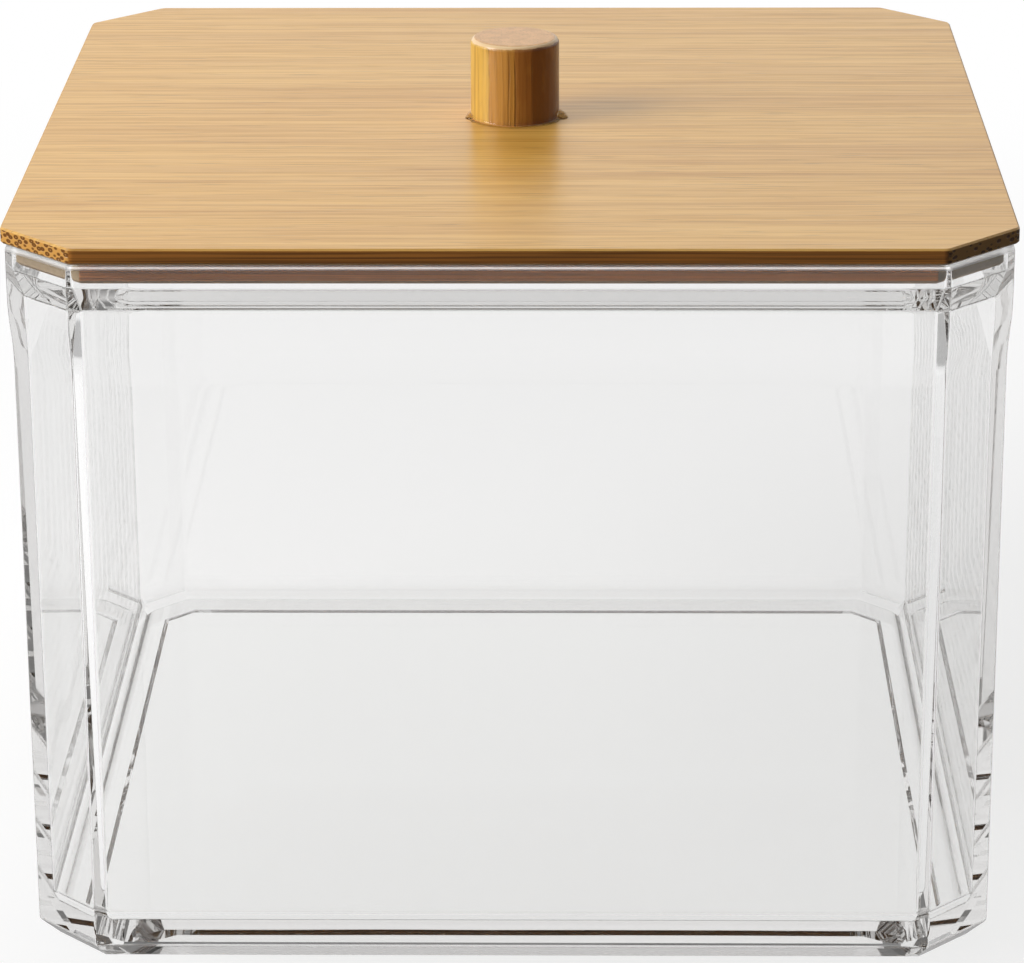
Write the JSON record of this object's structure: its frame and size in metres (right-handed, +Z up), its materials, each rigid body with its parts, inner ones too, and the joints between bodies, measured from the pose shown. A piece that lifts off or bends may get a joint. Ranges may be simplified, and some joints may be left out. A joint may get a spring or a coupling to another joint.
{
  "type": "cotton pad holder jar with lift-off lid",
  "caption": "Clear octagonal storage jar with thick walls and base, and a thin lift-off bamboo lid with a short round knob.",
  "frame": {"origin": "centre of the jar's underside, on the surface it stands on", "axes": "+Z up, through the knob; +X to the right and +Y to the back as the picture shows the holder; X and Y run square to the flat sides, and the grain of the lid runs along X"},
  "size_m": [0.11, 0.11, 0.0938],
  "materials": {
    "clear_plastic": "clear polished injection-moulded styrene or acrylic",
    "bamboo_panel": "satin lacquered bamboo, straight grain along X",
    "bamboo_plug": "sanded bamboo, unlacquered edges",
    "bamboo_knob": "lacquered bamboo dowel, upright strips",
    "screw_steel": "zinc-plated steel",
    "clear_glue": "clear hard adhesive"
  },
  "bodies": {
    "jar": {"jar": "clear_plastic"},
    "lid": {"lid_panel": "bamboo_panel", "lid_plug": "bamboo_plug", "knob": "bamboo_knob", "knob_screw": "screw_steel", "knob_glue": "clear_glue"}
  },
  "joints": [
    {"name": "lid_lift", "type": "slide", "parent": "jar", "child": "lid", "axis": [0, 0, 1], "range_m": [0, 0.1]}
  ]
}
